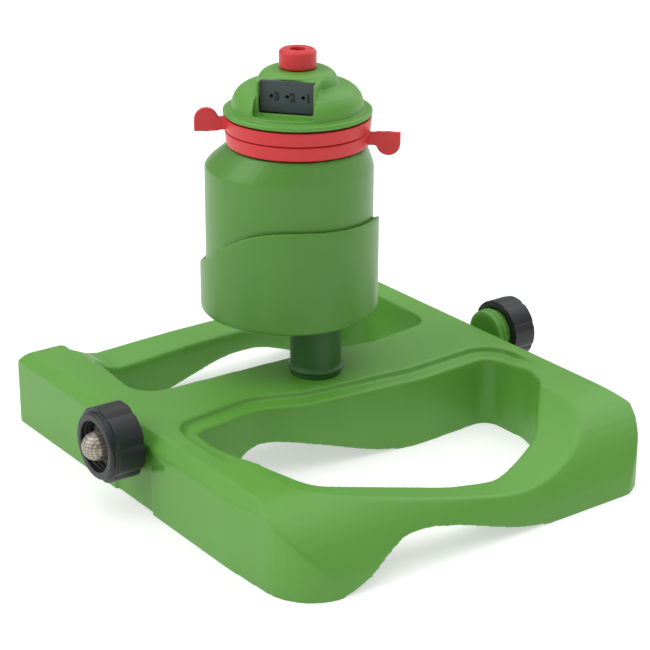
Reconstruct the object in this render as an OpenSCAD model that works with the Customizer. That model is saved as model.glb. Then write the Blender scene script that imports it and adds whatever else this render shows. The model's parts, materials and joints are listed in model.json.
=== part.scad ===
/* [Sled base] */
// Width of the sled across its two rails
base_w = 238; // [190:1:290]
// Distance from the riser axis to the rear edge
rear_len = 121.5; // [100:0.5:146]
// Distance from the riser axis to the front edge
front_len = 148; // [130:1:178]
// Height of the flat deck
deck_h = 43.3; // [41:0.1:52]
// Wall of the moulded base
base_wall = 3; // [2.4:0.1:3.4]
// Bevel along the outer top edges
side_bevel = 6; // [3:0.5:7]
// Radius of the sled's nose
nose_r = 45; // [36:1:48]
// Width of the left rail beside the openings
left_rail = 25.5; // [22:0.5:30]
// Width of the right rail beside the openings
right_rail = 22; // [20:0.5:27]
// Drop of the ledge behind the front opening
ledge_drop = 3.6; // [2:0.1:4.4]

/* [Water way] */
// Height of the hose line above the ground
hose_h = 37.5; // [36:0.5:41]
// Distance of the hose line ahead of the riser axis
hose_ahead = 3; // [0:0.5:4]
// Outside radius of the pipe under the deck
pipe_r = 8; // [7:0.1:8.6]
// Radius of the pipe's bore
pipe_bore = 5.5; // [4:0.1:6]
// Radius of the female hose thread in the inlet coupling
hose_thread_r = 13.5; // [13:0.05:14]
// Radius of the male hose thread under the end cap
outlet_thread_r = 13.3; // [12.8:0.05:13.4]
// Outside radius of the inlet coupling
coupling_r = 20; // [18.5:0.1:23]
// Length of the inlet coupling
coupling_len = 19; // [17.5:0.5:22]
// Outside radius of the end cap
cap_r = 18; // [17:0.1:21]
// Length of the end cap
cap_len = 17.5; // [15:0.5:21]
// Radius of the riser
riser_r = 14; // [12.5:0.1:16]
// Height of the housing's underside
housing_z = 74; // [64:0.5:84]

/* [Gear housing] */
// Radius of the housing's upper shell
shell_r = 45.3; // [44:0.1:50]
// Thickness of the housing's upper shell
shell_wall = 3; // [2.5:0.1:3.5]
// Thickness of the boot's wall
boot_wall = 3.1; // [2.4:0.1:4]
// Height of the boot's high front edge above its underside
boot_front_h = 56; // [50:1:66]
// Height of the boot's low rear edge above its underside
boot_rear_h = 22.5; // [16:1:26]
// Height of the housing from its underside to its shoulder's top
housing_h = 94; // [90:0.5:112]
// Distance of the housing axis behind the riser axis
housing_back = 24.7; // [23.8:0.1:26]
// Distance of the head axis behind the riser axis
head_back = 17; // [16.4:0.1:18]

/* [Gears and turbine] */
// Gear module
gear_module = 0.75; // [0.65:0.05:0.8]
// Teeth on each pinion
pinion_teeth = 12; // [12]
// Teeth on each reduction gear
wheel_teeth = 36; // [36]
// Teeth on the drive gear
drive_teeth = 48; // [48]
// Face width of the gears
gear_face = 4.4; // [3.6:0.1:5]
// Radius of the turbine wheel
turbine_r = 18; // [15:0.5:19]
// Number of turbine blades
blade_count = 14; // [10:1:18]
// Radius of the steel gear pins
pin_r = 1.5; // [1.2:0.1:1.8]

/* [Head] */
// Radius of the dome's rim
rim_r = 39.4; // [38.6:0.1:42]
// Height of the dome from its rim to its flat top
dome_h = 24; // [22.5:0.5:29]
// Angle that the nozzle window faces, from the front
window_turn = -50; // [-180:5:180]
// Width of the nozzle window
window_w = 29; // [26:0.5:31]
// Height of the nozzle window
window_h = 16.5; // [15:0.5:18]
// Outside radius of the hollow stem
stem_r = 7; // [6.2:0.1:7.4]
// Radius of the red knob
knob_r = 9.9; // [8.5:0.1:12]
// Height of the red knob
knob_h = 9.6; // [8:0.1:13]

/* [Trip rings] */
// Height of one trip ring
ring_h = 7.3; // [6.6:0.1:8.2]
// Outside radius of the lower trip ring
ring_r = 38.2; // [37.6:0.1:39.4]
// Angle of the upper ring's tab
upper_tab_turn = 151; // [0:1:360]
// Angle of the lower ring's tab
lower_tab_turn = -45; // [-180:1:180]
// Diameter of a tab's round end
tab_d = 12.8; // [10:0.1:14]

/* [Fits] */
// Gap between neighbouring pieces of one assembly
fit_gap = 0.1; // [0.05:0.05:0.2]
// Radial clearance of a turning shaft in its hole
run_gap = 0.05; // [0.02:0.01:0.09]
// Clearance between pieces that move past each other
free_gap = 0.4; // [0.3:0.1:0.6]

/* [Hidden] */
$fn = 48;

// Colours of the mouldings
green = "#6aa84f";
dark_green = "#3a6a36";
red = "#e04a50";
black = "#2b2f33";
grey = "#5a5f66";
cream = "#ded8c4";
steel = "#b8bcc0";
rubber = "#222222";

cut = 1; // how far a cutting tool runs past what it cuts
wall_x = base_w / 2; // outer face of a side wall
hose_y = -hose_ahead;
under_deck = deck_h - base_wall;
ledge_h = deck_h - ledge_drop;
pipe_z = ledge_h - base_wall - pipe_r - 0.6; // the pipe lies just under the ledge

// ---------- outlines ----------

function unit(v) = v / norm(v);
function side(a, b) = let (u = unit(b - a)) [-u.y, u.x];

// Arc that rounds the corner b between a and c
function corner_arc(a, b, c, r, steps = 7) =
    let (u = unit(b - a), v = unit(c - b), turn = acos(min(1, u * v)))
    r < 0.1 || turn < 2 ? [b] :
    let (s = sign(cross(u, v)), reach = r * tan(turn / 2),
         start = b - u * reach, o = start + s * r * [-u.y, u.x], p = start - o)
    [for (k = [0 : steps]) let (g = s * turn * k / steps)
        o + [p.x * cos(g) - p.y * sin(g), p.x * sin(g) + p.y * cos(g)]];

// Closed outline through corners [x, y, radius], moved inwards by d
function outline(corners, d = 0) =
    let (n = len(corners), at = [for (c = corners) [c.x, c.y]],
         moved = [for (i = [0 : n - 1])
            let (p = at[(i + n - 1) % n], q = at[i], r = at[(i + 1) % n],
                 e = side(p, q), f = side(q, r))
            q + d * (e + f) / (1 + e * f)],
         radii = [for (i = [0 : n - 1])
            let (p = at[(i + n - 1) % n], q = at[i], r = at[(i + 1) % n])
            max(0, corners[i].z - d * sign(cross(q - p, r - q)))])
    [for (i = [0 : n - 1])
        each corner_arc(moved[(i + n - 1) % n], moved[i], moved[(i + 1) % n], radii[i])];

// Corners of the base, anticlockwise from the front left foot
base_corners = [
    [-wall_x, -front_len + 60, 60], [-wall_x + 3.5, -front_len + 1.5, 28],
    [wall_x, -front_len - 2.5, 35], [wall_x, rear_len, 2], [-wall_x, rear_len, 2]
];
open_left = -wall_x + left_rail;
open_right = wall_x - right_rail;
open_front = -front_len + 25;
// Corners of the front opening; its rear edge runs slightly askew
front_corners = [
    [open_left, open_front + 56, 40], [open_left + 13, open_front + 16, 15],
    [open_left + 84, open_front - 0.5, 50], [open_left + 116, open_front - 0.5, 40],
    [open_right - 34, open_front + 14, 30], [open_right - 6, open_front + 42, 20],
    [open_right, open_front + 60, 20], [open_right - 1, -33.5, 9], [open_right - 52, -36, 40],
    [open_left + 70, -28, 40], [open_left + 44, -17, 30], [open_left + 1, -22.5, 6]
];
// Corners of the rear opening
rear_corners = [
    [open_left - 2, 27, 16], [0, 23.5, 60], [52, 15.5, 40], [open_right, 21, 14],
    [open_right + 2, rear_len - 31, 10], [open_left + 4, rear_len - 31, 12]
];

// Height of an arch at x: it rises from x0 to its crown and falls to x1
function arch_z(x, x0, crown, x1, h) =
    let (t = x < crown ? (x - x0) / (crown - x0) : (x1 - x) / (x1 - crown))
    h * (1 - cos(180 * max(0, min(1, t)))) / 2;

// Dip in the top of the front rail: a long fall from the left, a steep rise to the right
rail_dip_x = 27;
rail_dip_z = 20.3;
function front_top(x, d) =
    let (u = x - rail_dip_x, left = rail_dip_x - open_left, right = open_right - 9 - rail_dip_x,
         rise = deck_h - rail_dip_z, soft = 12)
    rail_dip_z - d + (u < 0
        ? rise * (sqrt(u * u + soft * soft) - soft) / (sqrt(left * left + soft * soft) - soft)
        : rise * pow(u / right, 2));

module plan(corners, d, z0, z1) {
    translate([0, 0, z0])
        linear_extrude(z1 - z0)
            polygon(outline(corners, d));
}

// ---------- sled base ----------

// Side profile of the sled, y along the part and z up, d inside the surface
rear_round = 11;
function sled_profile(d) =
    let (cy = -front_len + nose_r, cz = deck_h - nose_r, r = nose_r - d,
         a0 = asin(min(1, (0 - cz) / r)))
    concat(
        [[rear_len - d, -cut]],
        [for (k = [0 : 6]) let (a = 90 * k / 6)
            [rear_len - rear_round + (rear_round - d) * cos(a),
             deck_h - rear_round + (rear_round - d) * sin(a)]],
        [for (k = [0 : 12]) let (a = 90 + (180 - a0 - 90) * k / 12)
            [cy + r * cos(a), cz + r * sin(a)]],
        [[cy - r * cos(a0), -cut]]);

module sled_body(d) {
    intersection() {
        plan(base_corners, d, d > 0 ? -cut : 0, deck_h + cut);
        rotate([90, 0, 90])
            linear_extrude(base_w + 2 * cut, center = true)
                polygon(sled_profile(d));
    }
}

// Wedges that bevel the outer top edges
module side_bevels(d) {
    for (s = [-1, 1])
        translate([s * (wall_x - d), 0, deck_h - d])
            rotate([0, 45, 0])
                cube([side_bevel * sqrt(2), 3 * front_len, side_bevel * sqrt(2)],
                    center = true);
}

saddle_low = 12.8; // lowest dip of the rear rail below the deck
function ease(t) = let (u = max(0, min(1, t))) u * u * (3 - 2 * u);
// Dip in the top of the rear rail, lowest beside the side rails
function rear_top(x, d) =
    let (t = (x - open_left) / (open_right - open_left))
    deck_h - d - saddle_low * ease(t / 0.12) * ease((1 - t) / 0.12)
        * (1 - 0.3 * pow(sin(180 * t), 2));

// Cut that rounds the rear rail into a bar
bar_r = 16;
bar_top = deck_h - 6.8;
module bar_cut(d) {
    translate([open_left, 0, 0])
        rotate([90, 0, 90])
            linear_extrude(open_right - open_left)
                polygon(concat(
                    [[rear_len - bar_r, deck_h + 5]],
                    [for (k = [0 : 8]) let (a = 90 - 90 * k / 8)
                        [rear_len - bar_r + (bar_r - d) * cos(a),
                         bar_top - bar_r + (bar_r - d) * sin(a)]],
                    [[rear_len + 5, bar_top - bar_r], [rear_len + 5, deck_h + 5]]));
}

// Cut above a rail's dipped top, between y0 and y1; which is 0 for the front rail
module rail_dip(which, d, y0, y1) {
    steps = 24;
    x0 = open_left;
    x1 = which == 0 ? open_right - 9 : open_right;
    translate([0, y1, 0])
        rotate([90, 0, 0])
            linear_extrude(y1 - y0)
                polygon(concat(
                    [for (i = [0 : steps]) let (x = x0 + (x1 - x0) * i / steps)
                        [x, which == 0 ? front_top(x, d) : rear_top(x, d)]],
                    [[x1, deck_h + 5], [x0, deck_h + 5]]));
}

module rail_dips(d) {
    rail_dip(0, d, -front_len - 10, open_front + 45);
    rail_dip(1, d, rear_len - 42 - d, rear_len + 20);
    bar_cut(d);
}

// Cuts under the rails and the bridge that leave four feet
module arch(x0, crown, x1, h, y0, y1) {
    steps = 20;
    translate([0, y1, 0])
        rotate([90, 0, 0])
            linear_extrude(y1 - y0)
                polygon(concat(
                    [for (i = [0 : steps]) let (x = x0 + (x1 - x0) * i / steps)
                        [x, arch_z(x, x0, crown, x1, h)]],
                    [[x1, -cut], [x0, -cut]]));
}

screw_r = 1.6;
head_r = 3.2;
boss_r = 3.6;
saddle_left_x = -25; // clear of the wall of the front opening
saddle_right_x = 38;
saddle_reach = pipe_r + 4.6; // from the pipe's axis to a saddle screw
saddle_w = 11;

module at_saddle_screws() {
    for (x = [saddle_left_x, saddle_right_x], y = [-saddle_reach, saddle_reach])
        translate([x, hose_y + y, 0]) children();
}

flare_h = 30;
flare_w = 18;
module inlet_flare() {
    // shallow bay in the left wall, behind the inlet coupling
    translate([-wall_x - cut, hose_y, 0])
        rotate([90, 0, 90])
            linear_extrude(cut + 1.6)
                polygon([
                    [-flare_w, -cut], [-flare_w, flare_h - 4], [-flare_w - 15, flare_h + 2],
                    [-flare_w + 2, flare_h + 6], [flare_w - 2, flare_h + 6],
                    [flare_w, flare_h - 4], [flare_w, -cut]
                ]);
}

spigot_r = riser_r - 3.6; // riser's lower spigot
screw_top = pipe_z + 7; // tips of the saddle screws
ledge_w = 9;
ledge_ends = -44; // where the ledge starts to rise back to the deck along both side rails
ledge_run = 26;

// Space above the ledge, which fades out forwards
module ledge_space() {
    slope = ledge_run / ledge_drop;
    intersection() {
        plan(front_corners, -ledge_w, ledge_h, deck_h + cut);
        rotate([90, 0, 90])
            linear_extrude(base_w - left_rail, center = true)
                polygon([
                    [12, ledge_h - cut], [12, deck_h + cut],
                    [ledge_ends - ledge_run - slope * cut, deck_h + cut],
                    [ledge_ends + slope * cut, ledge_h - cut]
                ]);
    }
}

module sled_base() {
    color(green)
    difference() {
        union() {
            difference() {
                sled_body(0);
                difference() {
                    sled_body(base_wall);
                    side_bevels(base_wall);
                    rail_dips(base_wall);
                    plan(front_corners, -base_wall, -2 * cut, deck_h + cut);
                    plan(rear_corners, -base_wall, -2 * cut, deck_h + cut);
                    intersection() {
                        plan(front_corners, -base_wall - ledge_w, ledge_h - base_wall, deck_h + cut);
                        translate([-wall_x, ledge_ends - ledge_run, 0])
                            cube([base_w, ledge_run - ledge_ends + 12, deck_h + cut]);
                    }
                }
            }
            at_saddle_screws()
                translate([0, 0, pipe_z + fit_gap])
                    cylinder(r = boss_r, h = under_deck - pipe_z);
        }
        side_bevels(0);
        rail_dips(0);
        plan(front_corners, 0, -cut, deck_h + cut);
        plan(rear_corners, 0, -cut, deck_h + cut);
        ledge_space();
        arch(-wall_x + 27, -wall_x + 74, 47, 18.8, -front_len - 5, open_front + 30);
        arch(open_left + 10, 15, open_right - 4, 20, rear_len - 40, rear_len + cut);
        arch(open_left + 4, -48, 40, 19, -45, 40);
        inlet_flare();
        // way for the pipe through both side walls, and for the riser through the deck
        translate([0, hose_y, pipe_z])
            rotate([0, 90, 0])
                cylinder(r = pipe_r + fit_gap, h = base_w + 2 * cut, center = true);
        translate([0, 0, ledge_h - base_wall - cut]) cylinder(r = spigot_r + fit_gap, h = base_wall * 4);
        at_saddle_screws()
            cylinder(r = screw_r, h = screw_top + 0.6);
    }
}

// ---------- water pipe, saddles and riser ----------

stub_x = wall_x + fit_gap; // inner face of the end stubs
flange_t = 2.4;
socket_r = riser_r - 0.6;
spigot_len = 8;
spigot_bottom = deck_h - spigot_len - base_wall;
nipple_r = 9.8;
nipple_len = 10.6; // from the stub's inner face to the nipple's end
groove_at = 7.6; // where the clip sits on the nipple
clip_t = 1.4;
outlet_len = 20;
outlet_bore = 9.5;

module along_x(x, y, z) {
    translate([x, y, z]) rotate([0, 90, 0]) children();
}

module water_pipe() {
    color(dark_green)
    difference() {
        union() {
            along_x(0, hose_y, pipe_z) cylinder(r = pipe_r, h = base_w, center = true);
            cylinder_from(socket_r, pipe_z - pipe_r + 2, ledge_h - base_wall - fit_gap);
            // inlet stub: an upright flange that carries the nipple
            stub_flange(-1);
            along_x(-stub_x - nipple_len, hose_y, hose_h)
                cylinder(r = nipple_r, h = nipple_len);
            // outlet stub: flange, collar and male hose thread
            stub_flange(1);
            along_x(stub_x, hose_y, hose_h) cylinder(r = outlet_thread_r - 0.9, h = outlet_len);
            along_x(stub_x + 4.4, hose_y, hose_h) cylinder(r = outlet_thread_r + 1, h = 1.6);
            for (i = [0 : 4])
                along_x(stub_x + 8.6 + i * 2.2, hose_y, hose_h)
                    cylinder(r = outlet_thread_r, h = 1.1);
        }
        along_x(0, hose_y, pipe_z)
            cylinder(r = pipe_bore, h = 2 * (stub_x + flange_t / 2 + 1), center = true);
        // bores of the two stubs
        along_x(-stub_x - nipple_len - cut, hose_y, hose_h)
            cylinder(r = nipple_r - 2.6, h = nipple_len - flange_t + cut + 1.6);
        along_x(stub_x + flange_t - 1.6, hose_y, hose_h)
            cylinder(r = outlet_bore, h = outlet_len + cut);
        // groove for the clip
        along_x(-stub_x - groove_at - clip_t, hose_y, hose_h)
            difference() {
                cylinder(r = nipple_r + cut, h = clip_t);
                translate([0, 0, -cut]) cylinder(r = nipple_r - 1, h = clip_t + 2 * cut);
            }
        // socket of the riser
        cylinder_from(spigot_r + fit_gap / 2, spigot_bottom - fit_gap, deck_h);
        cylinder_from(pipe_bore, pipe_z, deck_h);
    }
}

module cylinder_from(r, z0, z1, x = 0, y = 0) {
    translate([x, y, z0]) cylinder(r = r, h = z1 - z0);
}

module stub_flange(s) {
    // tall round-ended plate that joins the low pipe to the hose line
    x = s > 0 ? stub_x : -stub_x - flange_t;
    along_x(x, hose_y, pipe_z) cylinder(r = pipe_r + 1.5, h = flange_t);
    along_x(x, hose_y, hose_h) cylinder(r = outlet_thread_r + 0.4, h = flange_t);
    along_x(s > 0 ? wall_x - fit_gap : -stub_x, hose_y, pipe_z)
        cylinder(r = pipe_r, h = 2 * fit_gap);
}

module pipe_saddle(x) {
    low = pipe_z - pipe_r - 2.6;
    color(green)
    difference() {
        translate([x - saddle_w / 2, hose_y - saddle_reach - 4.5, low])
            cube([saddle_w, 2 * saddle_reach + 9, pipe_z - low]);
        along_x(0, hose_y, pipe_z) cylinder(r = pipe_r + fit_gap, h = base_w, center = true);
        for (y = [-saddle_reach, saddle_reach])
            translate([x, hose_y + y, 0]) cylinder(r = screw_r + 2 * fit_gap, h = deck_h);
        // the ears are thinner than the middle
        for (s = [-1, 1])
            translate([x, hose_y + s * (saddle_reach + 1.5), low])
                cube([saddle_w + cut, 10.2, 2 * (pipe_z - low - 4)], center = true);
    }
}

module saddle_left() { pipe_saddle(saddle_left_x); }
module saddle_right() { pipe_saddle(saddle_right_x); }

module screw(z_head, z_tip, r = screw_r, hr = head_r, ht = 2.2) {
    // driven upwards: a round head below with a cross recess, and a plain shank
    difference() {
        union() {
            translate([0, 0, z_head - ht]) cylinder(r = hr, h = ht);
            translate([0, 0, z_head - 0.01]) cylinder(r = r - fit_gap, h = z_tip - z_head);
        }
        for (a = [0, 90])
            translate([0, 0, z_head - ht])
                rotate([0, 0, a]) cube([hr * 1.2, 0.8, 2.2], center = true);
    }
}

module saddle_screws() {
    color(steel)
        at_saddle_screws() screw(pipe_z - 4, screw_top);
}

riser_collar_z = deck_h + 3.2;
socket_top = housing_z + 8; // top of the riser's upper spigot
upper_spigot_r = riser_r - 3;
seal_t = 2;

module riser_post() {
    color(dark_green)
    difference() {
        union() {
            cylinder_from(riser_r, deck_h, housing_z);
            cylinder_from(riser_r + 1.4, riser_collar_z, riser_collar_z + 1.5);
            cylinder_from(spigot_r, spigot_bottom, deck_h + cut);
            cylinder_from(upper_spigot_r, housing_z - cut, socket_top);
        }
        cylinder_from(spigot_r - 3, spigot_bottom - cut, socket_top + cut);
        // seal groove near the lower end
        difference() {
            cylinder_from(spigot_r + cut, spigot_bottom + 2, spigot_bottom + 2 + seal_t);
            cylinder_from(spigot_r - 1.4, spigot_bottom, spigot_bottom + 2 + 2 * seal_t);
        }
    }
}

module riser_seal() {
    color(rubber)
    difference() {
        cylinder_from(spigot_r, spigot_bottom + 2, spigot_bottom + 2 + seal_t);
        cylinder_from(spigot_r - 1.4, spigot_bottom, spigot_bottom + 2 + 2 * seal_t);
    }
}

// ---------- inlet coupling ----------

coupling_back = stub_x + 2.9; // inner end of the coupling, from the middle of the base
coupling_front = coupling_back + coupling_len;
washer_at = stub_x + nipple_len + fit_gap; // inner face of the hose washer
washer_t = 2.8;
filter_at = washer_at + washer_t;

module at_inlet(u) {
    // u is the distance from the middle of the base, and the piece grows outwards
    translate([-u, hose_y, hose_h]) rotate([0, -90, 0]) children();
}

lobe_step = 0.4; // how far the lobes stop short of the ends

// Round body with shallow lobes round it
module lobed(r, h, lobes, depth) {
    lobe = r * 0.56;
    union() {
        cylinder(r = r - depth, h = h);
        intersection() {
            translate([0, 0, lobe_step]) cylinder(r = r, h = h - 2 * lobe_step);
            for (i = [0 : lobes - 1])
                rotate([0, 0, i * 360 / lobes])
                    translate([r - lobe + 0.6, 0, 0]) cylinder(r = lobe, h = h);
        }
    }
}

module inlet_coupling() {
    color(black)
    difference() {
        union() {
            at_inlet(coupling_back) lobed(coupling_r, coupling_len - 3, 7, 2.4);
            at_inlet(coupling_front - 3.5) cylinder(r = hose_thread_r + 4.2, h = 2.7);
            at_inlet(coupling_front - 0.8) cylinder(r1 = hose_thread_r + 4.2, r2 = hose_thread_r + 3.4, h = 0.8);
        }
        at_inlet(coupling_back - cut) cylinder(r = nipple_r + run_gap, h = coupling_len);
        at_inlet(stub_x + groove_at - 0.5)
            cylinder(r = hose_thread_r, h = coupling_len);
    }
}

module inlet_washer() {
    color(rubber)
        at_inlet(washer_at)
            difference() {
                cylinder(r = hose_thread_r - 0.2, h = washer_t);
                translate([0, 0, -cut]) cylinder(r = 7.6, h = washer_t + 2 * cut);
            }
}

filter_r = 8.9;
filter_nose = 6; // how far the filter stands out of the mouth
filter_len = coupling_front - filter_at;
// Outline of the filter, radius against height above its flange, d inside the skin
function filter_line(d) = concat(
    [[0, 0], [filter_r - d, 0]],
    [for (k = [0 : 6]) let (a = 15 * k)
        [(filter_r - 1.2 - d) * pow(cos(a), 0.9), filter_len - 2.5 + (filter_nose + 2.5 - d) * sin(a)]]);

module inlet_filter() {
    // flanged cone of woven steel with a blunt nose, pointing at the hose
    color(steel)
        at_inlet(filter_at)
            difference() {
                union() {
                    cylinder(r = hose_thread_r - 0.5, h = 0.8);
                    rotate_extrude() polygon(filter_line(0));
                }
                translate([0, 0, -0.01]) rotate_extrude() polygon(filter_line(0.6));
            }
}

module coupling_clip() {
    color(steel)
        at_inlet(stub_x + groove_at)
            difference() {
                cylinder(r = nipple_r + 2, h = clip_t);
                translate([0, 0, -cut]) cylinder(r = nipple_r - 1, h = clip_t + 2 * cut);
                translate([0, -1.5, -cut]) cube([nipple_r + 4, 3, clip_t + 2 * cut]);
            }
}

// ---------- end cap ----------

cap_at = stub_x + 8; // inner edge of the cap
cap_end_t = 3;
cap_washer_t = 1.8;
module at_outlet(u) {
    translate([u, hose_y, hose_h]) rotate([0, 90, 0]) children();
}

module end_cap() {
    color(black)
    difference() {
        union() {
            at_outlet(cap_at) lobed(cap_r, cap_len - 2, 8, 2.2);
            at_outlet(cap_at + cap_len - 2 - 0.01) cylinder(r1 = cap_r - 2.2, r2 = cap_r - 3.6, h = 2);
        }
        at_outlet(cap_at - cut)
            cylinder(r = outlet_thread_r + free_gap / 2, h = cap_len - cap_end_t + cut);
    }
}

module cap_washer() {
    color(rubber)
        at_outlet(cap_at + cap_len - cap_end_t - cap_washer_t - fit_gap)
            difference() {
                cylinder(r = outlet_thread_r - 0.1, h = cap_washer_t);
                translate([0, 0, -cut]) cylinder(r = outlet_bore, h = 2 * cap_washer_t + cut);
            }
}

// ---------- gear housing ----------

boot_r = shell_r + fit_gap + boot_wall;
floor_t = 3;
floor_z = housing_z + floor_t;
shell_bottom = floor_z + 1.6; // the gasket lies below the shell's rim
shell_in = shell_r - shell_wall;
shoulder_top = housing_z + housing_h;
shoulder_drop = 13;
shoulder_z = shoulder_top - shoulder_drop;
head_y = head_back;
house_y = housing_back;
screw_ring = shell_in - 4;
plate_t = 3;

module at_house() { translate([0, house_y, 0]) children(); }
module at_head() { translate([0, head_y, 0]) children(); }

module at_house_screws() {
    for (i = [0 : 3])
        translate([0, house_y, 0]) rotate([0, 0, 45 + 90 * i]) translate([screw_ring, 0, 0]) children();
}

boot_lean = 3.1;

// Edge line of the boot seen from the side: high at the front, low at the back
function boot_edge(y) =
    let (t = (y - (house_y - boot_r)) / (2 * boot_r))
    housing_z + boot_rear_h + (boot_front_h - boot_rear_h)
        * (1 - pow(sin(90 * min(1, max(0, (t - 0.06) / 0.84))), 2));

module boot_cut() {
    steps = 25; // odd, so that no corner falls on the seam of the boot's wall
    y0 = house_y - boot_r - cut;
    y1 = house_y + boot_r + cut;
    // the edge line drops a little from the inlet side to the outlet side
    translate([0, 0, housing_z])
    rotate([0, boot_lean, 0])
    translate([0, 0, -housing_z])
    rotate([90, 0, 90])
        linear_extrude(3 * boot_r, center = true)
            polygon(concat(
                [for (i = [0 : steps]) let (y = y0 + (y1 - y0) * i / steps) [y, boot_edge(y)]],
                [[y1, shoulder_top], [y0, shoulder_top]]));
}

module housing_boot() {
    bevel = 1.9;
    color(green)
    difference() {
        union() {
            at_house() {
                cylinder_from(boot_r, housing_z + bevel, shoulder_z - 8);
                translate([0, 0, housing_z]) cylinder(r1 = boot_r - bevel, r2 = boot_r, h = bevel);
            }
        }
        boot_cut();
        difference() {
            at_house() cylinder_from(shell_r + fit_gap, floor_z, shoulder_top);
            cylinder_from(riser_r - 0.5, housing_z, socket_top + 2.4);
        }
        cylinder_from(upper_spigot_r + fit_gap / 2, housing_z - cut, socket_top + fit_gap);
        cylinder_from(spigot_r - 3, housing_z, socket_top + 3);
        at_house_screws() {
            cylinder_from(screw_r + 2 * fit_gap, housing_z - cut, floor_z + cut);
            cylinder_from(head_r + 2 * fit_gap, housing_z - cut, housing_z + 1.4);
        }
    }
}

// The shell narrows at the shoulder, and its top circle is centred on the head
module shell_form(d) {
    top_r = ring_r - 1.45 - d;
    at_house() cylinder_from(shell_r - d, d > 0 ? housing_z : shell_bottom, shoulder_z - d / 2);
    hull() {
        at_house() cylinder_from(shell_r - d, shoulder_z - d / 2 - 0.2, shoulder_z - d / 2, 0, 0);
        translate([0, house_y - 1.6, 0])
            cylinder_from(shell_r - 1.9 - d, shoulder_z + 3 - d, shoulder_z + 3.5 - d, 0, 0);
        at_head() cylinder_from(top_r, shoulder_top - d - 0.2, shoulder_top - d, 0, 0.25);
    }
}

bushing_r = stem_r + 3;
trip_x = -26; // the trip shaft, in the head's own frame
trip_r = 1.5;
module at_trip() { translate([trip_x, head_y, 0]) children(); }

module housing_shell() {
    color(green)
    difference() {
        union() {
            difference() {
                shell_form(0);
                shell_form(shell_wall);
            }
            intersection() {
                union() {
                    at_house_screws() cylinder_from(boss_r + 0.4, shell_bottom, shell_bottom + 14);
                    at_head() cylinder_from(bushing_r + 3, shoulder_top - 12, shoulder_top - 1);
                    at_trip() cylinder_from(4, shoulder_top - 9, shoulder_top - 1);
                }
                shell_form(shell_wall / 2);
            }
        }
        at_head() cylinder_from(bushing_r, shoulder_top - 20, shoulder_top + cut);
        at_trip() cylinder_from(trip_r + run_gap, shoulder_top - 20, shoulder_top + cut);
        at_house_screws() cylinder_from(screw_r, shell_bottom - cut, shell_bottom + 11);
    }
}

module housing_gasket() {
    color(rubber)
    at_house()
        difference() {
            cylinder_from(shell_r - 0.2, floor_z, shell_bottom);
            cylinder_from(shell_in, floor_z - cut, shell_bottom + cut);
        }
}

module housing_screws() {
    color(steel)
        at_house_screws()
            translate([0, 0, housing_z + 1.4]) screw(0, 11.5, screw_r, head_r, 1.4);
}

// ---------- gear train ----------

stator_z = socket_top + 9;
stator_t = 3;
turbine_z = stator_z + stator_t + 2;
turbine_h = 10;
gear_base_z = turbine_z + turbine_h + 2;
level_pitch = gear_face + 0.9;
level_z = gear_base_z + plate_t + 0.9;
gear_top_z = level_z + 4 * level_pitch; // underside of the upper plate
pitch_r = gear_module * pinion_teeth / 2;
wheel_pitch_r = gear_module * wheel_teeth / 2;
drive_pitch_r = gear_module * drive_teeth / 2;
stage_turn = 60; // from the head axis to the second gear axis
back_turn = 170; // from the second gear axis to the first
axis_2 = [0, head_y] + (drive_pitch_r + pitch_r) * [cos(stage_turn), sin(stage_turn)];
axis_1 = axis_2 + (wheel_pitch_r + pitch_r) * [cos(back_turn), sin(back_turn)];
pressure = 25;
flank_play = 0.09; // taken off each flank

function involute(a) = tan(a) * 180 / PI - a;
function half_tooth(z, r) =
    let (rp = gear_module * z / 2, rb = rp * cos(pressure))
    90 / z + involute(pressure) - involute(r <= rb ? 0 : acos(rb / r)) - flank_play / r * 180 / PI;
function tooth_radii(z) =
    let (rp = gear_module * z / 2, rb = rp * cos(pressure), rr = rp - 1.25 * gear_module,
         rt = rp + gear_module)
    rb > rr ? [rr, rb + 0.02, (rb + rp) / 2, rp, (rp + rt) / 2, rt] : [rr, rp, (rp + rt) / 2, rt];
function gear_outline(z, phase) =
    let (rs = tooth_radii(z), n = len(rs))
    [for (i = [0 : z - 1], s = [-1, 1], k = [0 : n - 1])
        let (r = rs[s < 0 ? k : n - 1 - k],
             a = phase + i * 360 / z + s * half_tooth(z, r))
        r * [cos(a), sin(a)]];

// Phase of gear b that puts it in mesh with gear a, where turn is the angle from a to b
function mesh_phase(za, phase_a, zb, turn) =
    turn + 180 - (0.5 - (turn - phase_a) * za / 360) * 360 / zb;

turn_1_2 = back_turn + 180; // from axis 1 to axis 2
phase_1 = mesh_phase(pinion_teeth, 0, wheel_teeth, turn_1_2);
phase_2 = mesh_phase(pinion_teeth, 0, wheel_teeth, back_turn);
phase_3 = mesh_phase(pinion_teeth, 0, wheel_teeth, turn_1_2);
phase_drive = mesh_phase(pinion_teeth, 0, drive_teeth, stage_turn + 180);

module gear(z, phase, h) {
    linear_extrude(h) polygon(gear_outline(z, phase));
}

module compound_gear(at, level, phase) {
    color(cream)
    translate([at.x, at.y, level_z + level * level_pitch])
        difference() {
            union() {
                gear(wheel_teeth, phase, gear_face);
                translate([0, 0, gear_face]) gear(pinion_teeth, 0, level_pitch);
            }
            translate([0, 0, -cut]) cylinder(r = pin_r + run_gap, h = 3 * level_pitch);
            // recessed web
            for (i = [0 : 4])
                rotate([0, 0, i * 72]) translate([wheel_pitch_r * 0.62, 0, -cut])
                    cylinder(r = wheel_pitch_r * 0.17, h = gear_face + 2 * cut);
        }
}

module gear_1() { compound_gear(axis_2, 0, phase_1); }
module gear_2() { compound_gear(axis_1, 1, phase_2); }
module gear_3() { compound_gear(axis_2, 2, phase_3); }

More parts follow.
